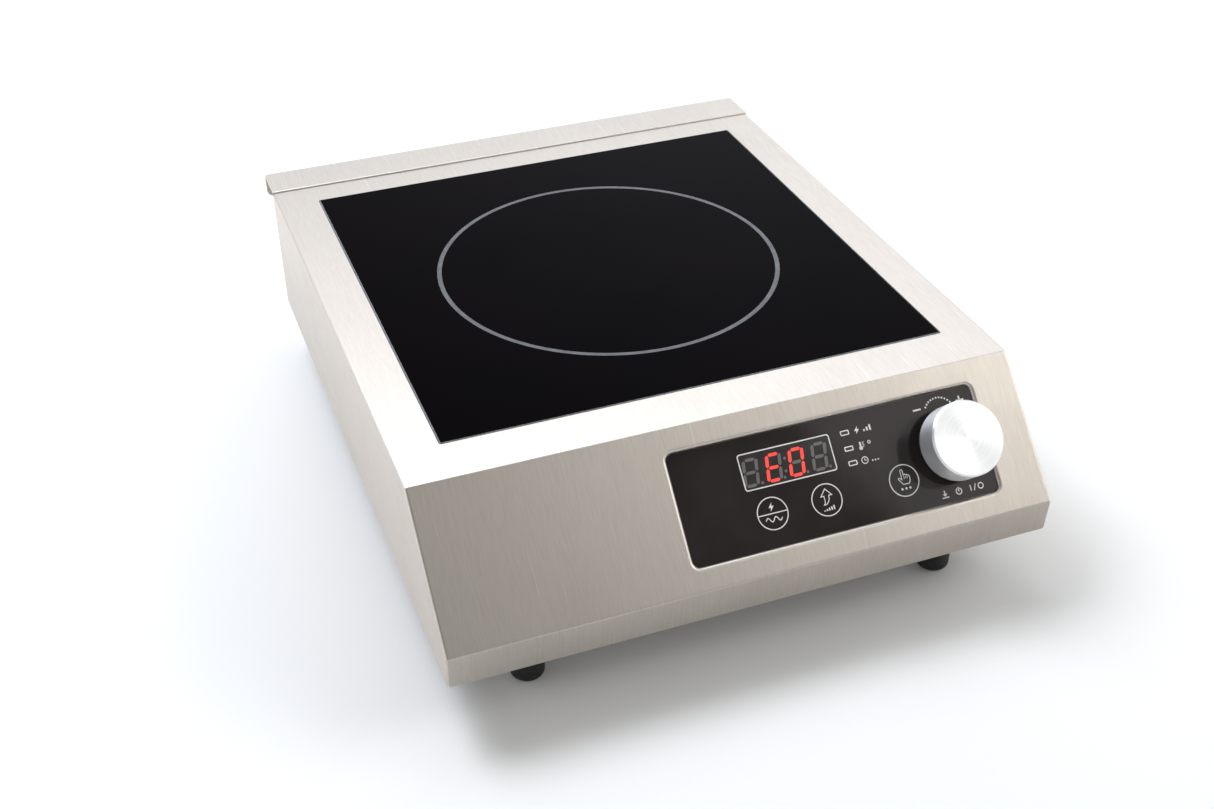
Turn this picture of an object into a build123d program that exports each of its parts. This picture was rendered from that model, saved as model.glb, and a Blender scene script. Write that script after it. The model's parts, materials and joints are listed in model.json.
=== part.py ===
from build123d import *
import os
from math import atan2, cos, degrees, hypot, radians, sin, pi

# Countertop induction hob, single zone, folded stainless body.
# Units mm. +X right, +Y rearward, +Z up.
# Origin: centre of the footprint, on the surface the feet stand on.

os.makedirs("parts", exist_ok=True)

# ---------------------------------------------------------------- driving dimensions
W = 330.0              # body width
D_TOP = 330.0          # top plate, front fold to rear seam
RUN, DROP = 57.8, 60.0 # sloped control face: run forward, drop down
STRIP = 19.0           # lower front strip height
STRIP_IN = 1.7         # lower front strip leans back by this much
HOOD = 27.2            # rear hood overhang
HOOD_UP = 0.9          # hood stands above the top plate
HOOD_FL = 15.5         # down-turned rear edge of the hood
T = 1.0                # steel sheet
FOOT_H = 32.0          # body underside above the table
R_FOLD = 1.5           # outside fold radius

Z_BOT = FOOT_H
Z_FOLD = Z_BOT + STRIP
Z_TOP = Z_FOLD + DROP                  # 111: top plate
Y_FRONT = -(RUN + D_TOP + HOOD) / 2    # -207.5: lower front fold
Y_TE = Y_FRONT + RUN                   # top front fold
Y_REAR = Y_TE + D_TOP                  # outside of the rear wall
Y_HOOD = Y_REAR + HOOD                 # rear edge of the hood
Z_HOOD = Z_TOP + HOOD_UP
Y_SIDE_END = Y_REAR - T - 0.3          # housing stops just short of the rear wall

# glass
GL = 280.8             # square glass
GL_T = 4.0
GL_UP = 0.3            # glass stands above the plate
GL_X, GL_Y = 1.0, Y_TE + 168.6
GL_R = 1.2             # small corner radius
SEAL_GAP = 0.5         # sealant between glass edge and recess wall
LEDGE_Z = 0.5          # sealant under the glass
LEDGE_W = 10.0         # ledge the glass is bonded to
ZONE_X, ZONE_Y = 1.0, Y_TE + 165.8     # centre of the cooking zone

# control panel cut-out, x and distance down the slope
PX, PS = 51.4, 41.95
PW, PH, PR = 173.4, 58.3, 4.0
OV_H, OV_T = -1.6, 1.2                 # overlay face level and thickness
BP_T = 1.0                             # backplate thickness

# knob
KX, KS = 117.5, 41.7
K_R = 19.9
K_FACE, K_EDGE = 20.2, 5.0             # face and lower edge of the metal cap
K_SKIRT_R, K_SKIRT_H = 18.0, -0.6
SHAFT_R, BUSH_R = 3.0, 3.05
PUSH = 0.5                             # press travel

# feet
FOOT_X, FOOT_YF, FOOT_YR = 117.0, Y_TE - 27.1, 148.0
FOOT_R, FOOT_RB, FOOT_FIL = 10.0, 8.9, 3.0

# inside
COIL_R, COIL_RI = 88.0, 22.0
FAN_X, FAN_Y, FAN_W, FAN_T = -98.0, -50.0, 92.0, 25.0
COIL_A = (62, 118, 255, 285)           # bearing of the coil supports

C = Align.CENTER
LO = Align.MIN
HI = Align.MAX
BASE = (C, C, LO)
L_SL = hypot(RUN, DROP)
panel = Plane(origin=(0, Y_TE, Z_TOP), x_dir=(1, 0, 0), z_dir=(0, -DROP / L_SL, RUN / L_SL))


def on_panel(shape, x=0.0, s=0.0, h=0.0):
    """Place a shape on the sloped face: x across, s down the slope, h along its outward normal."""
    return panel.location * Pos(x, -s, h) * shape


def cyl(r, h, x=0.0, y=0.0, z=0.0):
    return Pos(x, y, z) * Cylinder(r, h, align=BASE)


def tube(ro, ri, h, x=0.0, y=0.0, z=0.0):
    return Pos(x, y, z) * (Cylinder(ro, h, align=BASE) - Pos(0, 0, -1) * Cylinder(ri, h + 2, align=BASE))


def box(x0, x1, y0, y1, z0, z1):
    return Pos((x0 + x1) / 2, (y0 + y1) / 2, z0) * Box(x1 - x0, y1 - y0, z1 - z0, align=BASE)


def rbox(w, d, h, r, x=0.0, y=0.0, z=0.0):
    """Rounded-corner plate standing on z."""
    return Pos(x, y, z) * extrude(RectangleRounded(w, d, r), h)


def hexa(af, h, x=0.0, y=0.0, z=0.0):
    return Pos(x, y, z) * extrude(RegularPolygon(af / 2, 6, major_radius=False), h)


def yz_prism(pts, x0, x1):
    f = Plane.YZ * make_face(Polyline(*[(p[0], p[1]) for p in pts], close=True))
    return Pos(x0, 0, 0) * extrude(f, amount=x1 - x0, dir=(1, 0, 0))


def offset_convex(pts, d):
    """Inset a convex clockwise-or-counter-clockwise polygon by d."""
    n = len(pts)
    area = sum(pts[i][0] * pts[(i + 1) % n][1] - pts[(i + 1) % n][0] * pts[i][1] for i in range(n)) / 2
    sgn = 1.0 if area > 0 else -1.0
    lines = []
    for i in range(n):
        (x0, y0), (x1, y1) = pts[i], pts[(i + 1) % n]
        L = hypot(x1 - x0, y1 - y0)
        nx, ny = -(y1 - y0) / L * sgn, (x1 - x0) / L * sgn
        lines.append((x0 + nx * d, y0 + ny * d, (x1 - x0) / L, (y1 - y0) / L))
    out = []
    for i in range(n):
        ax, ay, adx, ady = lines[i - 1]
        bx, by, bdx, bdy = lines[i]
        den = adx * bdy - ady * bdx
        t = ((bx - ax) * bdy - (by - ay) * bdx) / den
        out.append((ax + adx * t, ay + ady * t))
    return out


def pan_screw(r=1.5, L=6.0, head=2.9, hh=1.9):
    """Cross-recess pan head screw, head on z=0 pointing down, thread up."""
    s = Pos(0, 0, -hh) * Cylinder(head, hh, align=BASE)
    s = fillet(s.edges().filter_by(GeomType.CIRCLE).sort_by(Axis.Z)[0:1], hh * 0.55)
    s += Cylinder(r, L, align=BASE)
    s -= Pos(0, 0, -hh) * Box(2.8, 0.7, 1.8, align=BASE)
    s -= Pos(0, 0, -hh) * Box(0.7, 2.8, 1.8, align=BASE)
    return s


NODES = {}


def put(name, *shapes):
    solids = []
    for s in shapes:
        solids += list(s.solids()) if hasattr(s, "solids") else [s]
    NODES[name] = solids[0] if len(solids) == 1 else Compound(children=solids)


# ---------------------------------------------------------------- top housing
prof = [(Y_TE, Z_TOP), (Y_FRONT, Z_FOLD), (Y_FRONT + STRIP_IN, Z_BOT), (Y_SIDE_END, Z_BOT), (Y_SIDE_END, Z_TOP)]
outer = yz_prism(prof, -W / 2, W / 2)


def soft_edges(sol):
    es = []
    for e in sol.edges():
        c = e.center()
        if abs(c.Y - Y_SIDE_END) < 0.01 or abs(c.Z - Z_BOT) < 0.01:
            continue
        es.append(e)
    return es


outer = fillet(soft_edges(outer), R_FOLD)
ins = offset_convex(prof, T)
# open underside and open back
inner_pts = [ins[0], ins[1], (ins[2][0] + 0.1, Z_BOT - 2), (Y_SIDE_END + 2, Z_BOT - 2), (Y_SIDE_END + 2, Z_TOP - T)]
inner = yz_prism(inner_pts, -W / 2 + T, W / 2 - T)
housing = outer - inner

# recess for the glass: wall, ledge and opening
rw = GL + 2 * SEAL_GAP
zl = Z_TOP + GL_UP - GL_T - LEDGE_Z           # top of the ledge
housing += rbox(rw + 2 * T, rw + 2 * T, Z_TOP - zl + T - 0.3, 2.4, GL_X, GL_Y, zl - T)
housing -= rbox(rw, rw, 20, 1.6, GL_X, GL_Y, zl)
housing -= rbox(rw - 2 * LEDGE_W, rw - 2 * LEDGE_W, 20, 6.0, GL_X, GL_Y, zl - 10)

# rolled-in edge around the control panel opening
lip = on_panel(rbox(PW + 2 * T, PH + 2 * T, 2.5, PR + T), PX, PS, -2.5)
housing += lip
housing -= on_panel(rbox(PW, PH, 20, PR), PX, PS, -10)
roll = []
for e in housing.edges():
    c = panel.to_local_coords(e.center())
    if abs(c.Z) < 0.02 and abs(c.X - PX) < PW / 2 + 0.1 and abs(c.Y + PS) < PH / 2 + 0.1:
        pts = [panel.to_local_coords(e.position_at(t)) for t in (0, 0.5, 1)]
        if all(abs(p.Z) < 0.02 for p in pts):
            roll.append(e)
housing = fillet(roll, 1.9)

# rounded lower corners of the front strip
for sx in (-1, 1):
    x0 = sx * W / 2
    cut = box(min(x0, x0 - sx * 2.2), max(x0, x0 - sx * 2.2), Y_FRONT - 1, Y_FRONT + STRIP_IN + T + 0.15, Z_BOT - 0.5, Z_BOT + 2.2)
    cut -= Pos(x0 - sx * 2.2, Y_FRONT + 8, Z_BOT + 2.2) * Rot(90, 0, 0) * Cylinder(2.2, 20, align=BASE)
    housing -= cut

# inward flanges that take the base screws and the rear wall screws
FL_Z = Z_BOT + 1.0 + T + 0.05
for sx in (-1, 1):
    xa, xb = sorted((sx * (W / 2 - T + 0.01), sx * (W / 2 - T - 12)))
    housing += box(xa, xb, -195, Y_SIDE_END, FL_Z, FL_Z + T)
    housing += box(xa, xb, Y_SIDE_END - T, Y_SIDE_END, FL_Z + 0.2, Z_TOP - T - 6)
housing += box(-150, 150, Y_FRONT + STRIP_IN + T - 0.7, Y_FRONT + STRIP_IN + T + 11, FL_Z, FL_Z + T)
BASE_SCREWS = [(sx * (W / 2 - 7.5), y) for sx in (-1, 1) for y in (-150, -20, 110)]
BASE_SCREWS += [(-70, Y_FRONT + STRIP_IN + 7.0), (70, Y_FRONT + STRIP_IN + 7.0)]
for x, y in BASE_SCREWS:
    housing -= cyl(1.5, 3, x, y, FL_Z - 1)
REAR_SCREWS = [(sx * (W / 2 - 7.0), z) for sx in (-1, 1) for z in (46, 88)]
for x, z in REAR_SCREWS:
    housing -= Pos(x, Y_SIDE_END + 1, z) * Rot(90, 0, 0) * Cylinder(1.5, 3, align=BASE)
put("top_housing", housing)

# ---------------------------------------------------------------- glass and seal
glass = rbox(GL, GL, GL_T, GL_R, GL_X, GL_Y, Z_TOP + GL_UP - GL_T)
glass = chamfer(glass.faces().sort_by(Axis.Z)[-1].edges(), 0.55)
put("glass_plate", glass)
seal = rbox(rw - 0.04, rw - 0.04, GL_T + LEDGE_Z - GL_UP - 0.25, 1.58, GL_X, GL_Y, zl)
seal -= rbox(GL + 0.02, GL + 0.02, 20, GL_R, GL_X, GL_Y, zl + LEDGE_Z)
seal -= rbox(rw - 2 * LEDGE_W + 1, rw - 2 * LEDGE_W + 1, 20, 6.0, GL_X, GL_Y, zl - 10)
put("glass_seal", seal)

# ---------------------------------------------------------------- rear wall with hood
wall = box(-W / 2, W / 2, Y_REAR - T, Y_REAR, Z_BOT + 1, Z_HOOD)
hood = box(-W / 2, W / 2, Y_REAR - T, Y_HOOD, Z_HOOD - T, Z_HOOD)
flange = box(-W / 2, W / 2, Y_HOOD - T, Y_HOOD, Z_HOOD - HOOD_FL, Z_HOOD)
rear = wall + hood + flange
ex = [e for e in rear.edges().filter_by(Axis.X)
      if (abs(e.center().Z - Z_HOOD) < 0.01 and (abs(e.center().Y - (Y_REAR - T)) < 0.01 or abs(e.center().Y - Y_HOOD) < 0.01))]
rear = fillet(ex, 0.95)
ey = [e for e in rear.edges().filter_by(Axis.Y)
      if abs(e.center().Z - (Z_HOOD - HOOD_FL)) < 0.01 and abs(e.center().Y - (Y_HOOD - T / 2)) < 0.02]
rear = fillet(ey, 4.0)
# exhaust slots in two banks
slot = Rot(90, 0, 0) * extrude(SlotOverall(34, 3.4, rotation=90), 6)
SLOTS = [(-36 + i * 7.8) for i in range(24)]
for x in SLOTS:
    rear -= Pos(x, Y_REAR + 2, 70) * slot
GX, GZ, G_R = -128.0, 58.0, 8.1
rear -= Pos(GX, Y_REAR + 2, GZ) * Rot(90, 0, 0) * Cylinder(G_R, 6, align=BASE)
EX, EZ = -98.0, 46.0
rear -= Pos(EX, Y_REAR + 2, EZ) * Rot(90, 0, 0) * Cylinder(2.1, 6, align=BASE)
for x, z in REAR_SCREWS:
    rear -= Pos(x, Y_REAR + 2, z) * Rot(90, 0, 0) * Cylinder(1.7, 6, align=BASE)
put("rear_panel", rear)
case_screws = [Pos(x, Y_REAR, z) * Rot(90, 0, 0) * pan_screw(1.45, 5.0) for x, z in REAR_SCREWS]

# blank rating plate riveted on the rear wall
RPX, RPZ = -78.0, 78.0
plate = Pos(RPX, Y_REAR + 0.45, RPZ) * Rot(90, 0, 0) * extrude(RectangleRounded(54, 28, 2), 0.4)
put("rating_plate", plate)
riv = Rot(90, 0, 0) * Cylinder(1.6, 0.9, align=BASE)
put("rating_plate_rivets", *[Pos(RPX + sx * 24.0, Y_REAR + 1.38, RPZ + sz * 11.0) * riv for sx in (-1, 1) for sz in (-1, 1)])

# cable gland: threaded body with hex, dome nut outside, lock nut inside, rubber insert
CORD_R = 4.25


def ycyl(r, y0, y1, x=GX, z=GZ):
    return Pos(x, y1, z) * Rot(90, 0, 0) * Cylinder(r, y1 - y0, align=BASE)


def yhex(af, y0, y1, x=GX, z=GZ):
    return Pos(x, y1, z) * Rot(90, 0, 0) * extrude(RegularPolygon(af / 2, 6, major_radius=False), y1 - y0)


gb = ycyl(7.95, Y_REAR - 9, Y_REAR + 4) + yhex(19.0, Y_REAR + 0.05, Y_REAR + 5.0) + ycyl(7.2, Y_REAR + 4, Y_REAR + 12)
gb -= ycyl(5.6, Y_REAR - 12, Y_REAR + 20)
put("gland_body", gb)
gn = yhex(18.6, Y_REAR + 5.1, Y_REAR + 13.0)
dome = ycyl(8.9, Y_REAR + 13.0, Y_REAR + 17.5)
dome = fillet(dome.edges().filter_by(GeomType.CIRCLE).sort_by(Axis.Y)[-1:], 2.6)
gn = gn + dome
gn -= ycyl(7.25, Y_REAR + 4, Y_REAR + 12.05)
gn -= ycyl(5.0, Y_REAR + 10, Y_REAR + 20)
put("gland_cap", gn)
gi = ycyl(5.55, Y_REAR - 2, Y_REAR + 11.9) - ycyl(CORD_R, Y_REAR - 5, Y_REAR + 20)
put("gland_insert", gi)
gl = yhex(21.0, Y_REAR - T - 4.05, Y_REAR - T - 0.05) - ycyl(8.0, Y_REAR - 12, Y_REAR + 20)
put("gland_locknut", gl)

# earth stud
es_ = ycyl(2.0, Y_REAR - 16, Y_REAR + 0.05, EX, EZ) + yhex(7.0, Y_REAR + 0.05, Y_REAR + 2.8, EX, EZ)
put("earth_stud", es_)
en = yhex(7.0, Y_REAR - T - 3.3, Y_REAR - T - 0.1, EX, EZ) - ycyl(2.03, Y_REAR - 20, Y_REAR + 5, EX, EZ)
m4_nuts = [en]

# ---------------------------------------------------------------- base plate
Z_B0, Z_B1 = Z_BOT + 1.0, Z_BOT + 1.0 + T
by0, by1 = Y_FRONT + STRIP_IN + T + 0.35, Y_REAR - T - 0.4
base = box(-W / 2 + T + 0.4, W / 2 - T - 0.4, by0, by1, Z_B0, Z_B1)
base = fillet(base.edges().filter_by(Axis.Z), 2.0)
for x, y in BASE_SCREWS:
    base -= cyl(1.7, 4, x, y, Z_B0 - 1)
FEET = [("front_left", -FOOT_X, FOOT_YF), ("front_right", FOOT_X, FOOT_YF), ("rear_left", -FOOT_X, FOOT_YR), ("rear_right", FOOT_X, FOOT_YR)]
for _, x, y in FEET:
    base -= cyl(2.15, 4, x, y, Z_B0 - 1)
# fan intake: rings of slots inside the fan's bore
for ring_r, n in ((12, 6), (20, 9), (28, 12), (36, 16)):
    a = 360 / n
    wdeg = a - degrees(4.2 / ring_r)
    arc = CenterArc((0, 0), ring_r, -wdeg / 2, wdeg)
    sk = offset(arc, 1.7) if False else None
    ringf = Pos(FAN_X, FAN_Y, Z_B0 - 1) * (Cylinder(ring_r + 1.7, 4, align=BASE) - Cylinder(ring_r - 1.7, 4, align=BASE))
    for k in range(n):
        spoke = Pos(FAN_X, FAN_Y, Z_B0 - 1) * Rot(0, 0, k * a + ring_r) * Pos(ring_r, 0, 0) * Box(8, 4.2, 4, align=BASE)
        ringf -= spoke
    base -= ringf
# cooling slots under the power board
for i in range(9):
    base -= Pos(20 + i * 12.0, -115, Z_B0 - 1) * extrude(SlotOverall(44, 3.4, rotation=90), 4)
# fan, board and coil fixings
FAN_H = FAN_W / 2 - 4.75
FAN_FIX = [(FAN_X + sx * FAN_H, FAN_Y + sy * FAN_H) for sx in (-1, 1) for sy in (-1, 1)]
PB = (-28.0, 142.0, -70.0, 96.0)      # power board x0, x1, y0, y1
PB_FIX = [(x, y) for x in (PB[0] + 6, PB[1] - 6) for y in (PB[2] + 6, PB[3] - 6)]
COIL_FIX = [(ZONE_X + 102 * cos(radians(a)), ZONE_Y + 102 * sin(radians(a))) for a in COIL_A]
for x, y in FAN_FIX + PB_FIX + COIL_FIX:
    base -= cyl(1.7, 4, x, y, Z_B0 - 1)
put("base_plate", base)
put("case_screws", *case_screws, *[Pos(x, y, Z_B0) * pan_screw(1.45, 5.0) for x, y in BASE_SCREWS])

# ---------------------------------------------------------------- rubber feet
feet = []
for name, x, y in FEET:
    f = Cone(FOOT_RB, FOOT_R, Z_B0 - 0.02, align=BASE)
    f = fillet(f.edges().filter_by(GeomType.CIRCLE).sort_by(Axis.Z)[0:1], FOOT_FIL)
    f = chamfer(f.edges().filter_by(GeomType.CIRCLE).sort_by(Axis.Z)[-1:], 0.5)
    f -= Cylinder(4.4, 10.0, align=BASE)
    f -= Cylinder(2.1, 40, align=BASE)
    feet.append(Pos(x, y, 0) * f)
put("rubber_feet", *feet)
fs = []
for _, x, y in FEET:
    s = Pos(0, 0, 7.6) * (Cylinder(4.0, 2.4, align=BASE) + Cylinder(2.0, Z_B1 + 6 - 7.6, align=BASE))
    s -= Pos(0, 0, 7.6) * Box(4.6, 1.0, 1.2, align=BASE)
    s -= Pos(0, 0, 7.6) * Box(1.0, 4.6, 1.2, align=BASE)
    fs.append(Pos(x, y, 0) * s)
put("foot_screws", *fs)
put("m4_nuts", *m4_nuts, *[hexa(7.0, 3.2, x, y, Z_B1 + 0.05) - cyl(2.03, 9, x, y, Z_B1 - 1) for _, x, y in FEET])

# ---------------------------------------------------------------- control panel
ov = rbox(PW - 0.4, PH - 0.4, OV_T, PR - 0.2)
ov -= Pos(KX - PX, -(KS - PS), -1) * Cylinder(8.0, 4, align=BASE)
put("control_overlay", on_panel(ov, PX, PS, OV_H - OV_T))

BPW, BPH = PW + 26.0, PH + 7.6
bp_z = OV_H - OV_T - BP_T
DX, DS, DW, DH = 27.3, 30.7, 50.3, 19.0          # display module
LEDS = [(62.1, 22.9), (62.1, 31.0), (62.1, 38.9)]
TOUCH = [(12.4, 53.75), (42.6, 53.75), (87.1, 53.75)]
STUDS = [(PX + sx * (PW / 2 + 8.5), PS + sy * 24.0) for sx in (-1, 1) for sy in (-1, 1)]
PCB_Z = -10.3                                     # component side of the control board
PCB_T = 1.6
CB = (-14.0, 132.0, 15.2, 69.4)                   # control board x0, x1, s0, s1
CB_FIX = [(CB[0] + 4, CB[2] + 4), (CB[0] + 4, CB[3] - 4), (75.0, CB[2] + 4), (CB[1] - 4.5, CB[3] - 4)]
bp = rbox(BPW, BPH, BP_T, 3.0)
bp -= Pos(DX - PX, -(DS - PS), -1) * Box(DW + 0.8, DH + 0.8, 4, align=BASE)
for x, s in LEDS:
    bp -= Pos(x - PX, -(s - PS), -1) * Box(5.6, 3.2, 4, align=BASE)
for x, s in TOUCH:
    bp -= Pos(x - PX, -(s - PS), -1) * Cylinder(7.0, 4, align=BASE)
bp -= Pos(KX - PX, -(KS - PS), -1) * Cylinder(4.6, 4, align=BASE)
for x, s in STUDS:
    bp -= Pos(x - PX, -(s - PS), -1) * Cylinder(1.7, 4, align=BASE)
for x, s in CB_FIX:
    bp -= Pos(x - PX, -(s - PS), -1) * Cylinder(1.3, 4, align=BASE)
put("panel_backplate", on_panel(bp, PX, PS, bp_z))
put("panel_studs", *[on_panel(Pos(0, 0, bp_z + BP_T) * Cylinder(2.6, -T - (bp_z + BP_T), align=BASE)
                              + Pos(0, 0, bp_z - 5) * Cylinder(1.5, 5 + BP_T + 0.1, align=BASE), x, s, 0) for x, s in STUDS])
m3_nuts = ([on_panel(hexa(5.5, 2.4) - Pos(0, 0, -1) * Cylinder(1.53, 5, align=BASE), x, s, bp_z - 2.45) for x, s in STUDS])

cb = rbox(CB[1] - CB[0], CB[3] - CB[2], PCB_T, 2.0)
cx, cs = (CB[0] + CB[1]) / 2, (CB[2] + CB[3]) / 2
for x, s in CB_FIX:
    cb -= Pos(x - cx, -(s - cs), -1) * Cylinder(1.6, 4, align=BASE)
chips = [on_panel(Box(17.5, 10.3, 2.4, align=(C, C, HI)), 30, 40, PCB_Z - PCB_T + 0.01),
         on_panel(Box(20.0, 6.0, 7.0, align=(C, C, HI)), 80, 60, PCB_Z - PCB_T + 0.01)]
put("control_board", on_panel(cb, cx, cs, PCB_Z - PCB_T) + chips[0] + chips[1])
put("board_spacers", *[on_panel(hexa(5.0, -PCB_Z + bp_z - 0.06) - Pos(0, 0, -1) * Cylinder(1.25, 20, align=BASE), x, s, PCB_Z + 0.03) for x, s in CB_FIX])
put("board_screws", *[on_panel(pan_screw(1.2, 5.0, 2.4, 1.6), x, s, PCB_Z - PCB_T - 0.02) for x, s in CB_FIX])

# four-digit display: black housing with recessed segment cells
disp_top = OV_H - OV_T - 0.05
dm = Box(DW, DH, disp_top - PCB_Z - 0.02, align=BASE)
dm = chamfer(dm.edges().filter_by(Axis.Z), 0.4)
put("display_module", on_panel(dm, DX, DS, PCB_Z + 0.02))
put("indicator_leds", *[on_panel(Box(4.9, 2.5, disp_top - PCB_Z - 0.02, align=BASE), x, s, PCB_Z + 0.02) for x, s in LEDS])
put("touch_pads", *[on_panel(Cylinder(6.2, disp_top - PCB_Z - 0.02, align=BASE), x, s, PCB_Z + 0.02) for x, s in TOUCH])

# ---------------------------------------------------------------- push encoder and knob
enc = Box(12.4, 13.2, bp_z - 0.05 - PCB_Z - 0.02, align=BASE)
enc = Pos(0, 0, PCB_Z + 0.02) * enc
enc -= Pos(0, 0, -9.9) * Cylinder(5.4, 5.1, align=BASE)
enc -= Pos(0, 0, -6) * Cylinder(SHAFT_R + 0.08, 5, align=BASE)
put("encoder_body", on_panel(enc, KX, KS))
bush = Pos(0, 0, bp_z - 0.03) * Cylinder(4.5, 6.4, align=BASE)
bush -= Pos(0, 0, -8) * Cylinder(BUSH_R, 20, align=BASE)
bush = chamfer(bush.edges().filter_by(GeomType.CIRCLE).sort_by(Axis.Z)[0:0] or
               [max((e for e in bush.edges().filter_by(GeomType.CIRCLE)), key=lambda e: (e.center().Z, e.length))], 0.4)
put("encoder_bush", on_panel(bush, KX, KS))
put("encoder_washer", on_panel(tube(7.0, 4.55, 0.4, 0, 0, bp_z + BP_T + 0.02), KX, KS))
put("encoder_nut", on_panel(hexa(11.0, 2.0, 0, 0, bp_z + BP_T + 0.45) - Pos(0, 0, -6) * Cylinder(4.53, 12, align=BASE), KX, KS))
shaft = Pos(0, 0, -8.3) * Cylinder(SHAFT_R, 23.3, align=BASE)
shaft -= Pos(0, 1.5 + 2.0, 4.0) * Box(10, 4.0, 20, align=BASE)
shaft += Pos(0, 0, -6.6) * Cylinder(4.9, 1.6, align=BASE)
put("encoder_shaft", on_panel(shaft, KX, KS))
put("encoder_plunger", on_panel(Pos(0, 0, -9.3) * Cylinder(4.2, 0.93, align=BASE), KX, KS))

core = Pos(0, 0, K_SKIRT_H) * Cylinder(K_SKIRT_R, K_EDGE - 0.25 - K_SKIRT_H, align=BASE)
core += Pos(0, 0, K_EDGE - 0.3) * Cylinder(17.2, K_FACE - 2.1 - K_EDGE + 0.3, align=BASE)
core -= Pos(0, 0, K_SKIRT_H - 1) * Cylinder(15.2, 1 - K_SKIRT_H + 4.6, align=BASE)
core -= Pos(0, 0, 0) * (Cylinder(15.2, 15.2, align=BASE) - Cylinder(6.2, 15.2, align=BASE))
boss_hole = Pos(0, 0, -2) * Cylinder(SHAFT_R + 0.03, 17.1, align=BASE)
boss_hole -= Pos(0, 1.5 + 2.04, 3.9) * Box(10, 4.0, 30, align=BASE)
core -= boss_hole
core -= Pos(0, 0, -6) * Cylinder(5.2, 10.0, align=BASE)
put("knob_core", on_panel(core, KX, KS))
cap = Pos(0, 0, K_EDGE) * Cylinder(K_R, K_FACE - K_EDGE, align=BASE)
cap = chamfer([max((e for e in cap.edges().filter_by(GeomType.CIRCLE)), key=lambda e: e.center().Z)], 0.9)
cap -= Pos(0, 0, K_EDGE - 1) * Cylinder(17.25, K_FACE - 2.0 - K_EDGE + 1, align=BASE)
put("knob_cap", on_panel(cap, KX, KS))

# ---------------------------------------------------------------- coil stack under the glass
z_gl = Z_TOP + GL_UP - GL_T
put("insulation_disc", tube(92, 10, 2.0, ZONE_X, ZONE_Y, z_gl - 2.02))
zc1 = z_gl - 2.05                      # top of the winding
prof_c = []
n_t = 15
pitch = (COIL_R - COIL_RI) / n_t
for i in range(n_t):
    r0 = COIL_RI + i * pitch
    prof_c += [(r0, -0.9), (r0 + pitch * 0.22, 0.0), (r0 + pitch * 0.78, 0.0)]
prof_c += [(COIL_R, -0.9), (COIL_R, -4.2), (COIL_RI, -4.2)]
cf = Plane.XZ * make_face(Polyline(*prof_c, close=True))
coil = revolve(cf, Axis.Z, 360)
put("litz_coil", Pos(ZONE_X, ZONE_Y, zc1) * coil)
zf1 = zc1 - 4.25
former = cyl(96, 4.0, 0, 0, -4.0) - cyl(14, 10, 0, 0, -6)
former += tube(96, 91, 2.4, 0, 0, -0.01)
for k in range(8):
    former -= Rot(0, 0, k * 45 + 22.5) * Pos(57, 0, -4.01) * Box(58.4, 15.4, 2.6, align=BASE)
for k in range(4):
    a = COIL_A[k]
    ear = Rot(0, 0, a) * Pos(98, 0, -4.0) * Box(20, 12, 4.0, align=BASE)
    former += ear - cyl(91, 20, 0, 0, -10)
for a in COIL_A:
    former -= cyl(1.7, 20, 102 * cos(radians(a)), 102 * sin(radians(a)), -10)
put("coil_former", Pos(ZONE_X, ZONE_Y, zf1) * former)
put("ferrite_bars", *[Pos(ZONE_X, ZONE_Y, zf1 - 4.0 - 2.6) * Rot(0, 0, k * 45 + 22.5) * Pos(57, 0, 0) * Box(58, 15, 5.1, align=BASE) for k in range(8)])
zs1 = zf1 - 6.65
shield = cyl(96, 1.5, 0, 0, -1.5) - cyl(16, 10, 0, 0, -6)
for a in COIL_A:
    shield += Rot(0, 0, a) * Pos(98, 0, -1.5) * Box(20, 12, 1.5, align=BASE)
for a in COIL_A:
    shield -= cyl(1.7, 20, 102 * cos(radians(a)), 102 * sin(radians(a)), -10)
put("coil_shield", Pos(ZONE_X, ZONE_Y, zs1) * shield)
zs0 = zs1 - 1.5
put("coil_posts", *[hexa(8.0, zs0 - Z_B1 - 0.04, x, y, Z_B1 + 0.02) - cyl(1.55, 8, x, y, Z_B1 - 1) - cyl(1.55, 14, x, y, zs0 - 12) for x, y in COIL_FIX])
put("coil_spacers", *[tube(3.5, 1.7, zf1 - 4.0 - zs1 - 0.04, x, y, zs1 + 0.02) for x, y in COIL_FIX])
put("coil_screws", *[Pos(x, y, zf1 + 0.02) * Rot(180, 0, 0) * pan_screw(1.45, 17.0, 2.9, 1.9) for x, y in COIL_FIX])
# sprung glass temperature sensor in the coil's eye
th = cyl(5.0, 3.0, 0, 0, z_gl - 3.05) + cyl(8.0, 1.6, 0, 0, z_gl - 4.6) + cyl(3.6, zs1 - 1.0 - (zs0 - 8) + 12, 0, 0, zs0 - 8)
put("glass_sensor", Pos(ZONE_X, ZONE_Y, 0) * th)

# ---------------------------------------------------------------- power board
Z_PB = Z_B1 + 8.0
pb = box(PB[0], PB[1], PB[2], PB[3], Z_PB, Z_PB + 1.6)
for x, y in PB_FIX:
    pb -= cyl(1.7, 4, x, y, Z_PB - 1)
put("power_board", pb)
put("power_board_spacers", *[hexa(6.0, 7.94, x, y, Z_B1 + 0.03) - cyl(1.55, 20, x, y, Z_B1 - 1) for x, y in PB_FIX])
put("power_board_screws", *[Pos(x, y, Z_PB + 1.63) * Rot(180, 0, 0) * pan_screw(1.45, 6.0, 2.9, 1.9) for x, y in PB_FIX])
zt = Z_PB + 1.62
HSX, HSY, HSW, HSD = 28.0, 18.0, 92.0, 84.0
hz = zt + 5.2
hs = box(HSX - HSW / 2, HSX + HSW / 2, HSY - HSD / 2, HSY + HSD / 2, hz, hz + 5)
for i in range(14):
    x = HSX - HSW / 2 + 1.0 + i * (HSW - 2.0 - 1.4) / 13
    hs += box(x, x + 1.4, HSY - HSD / 2, HSY + HSD / 2, hz + 4.9, hz + 29)
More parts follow.
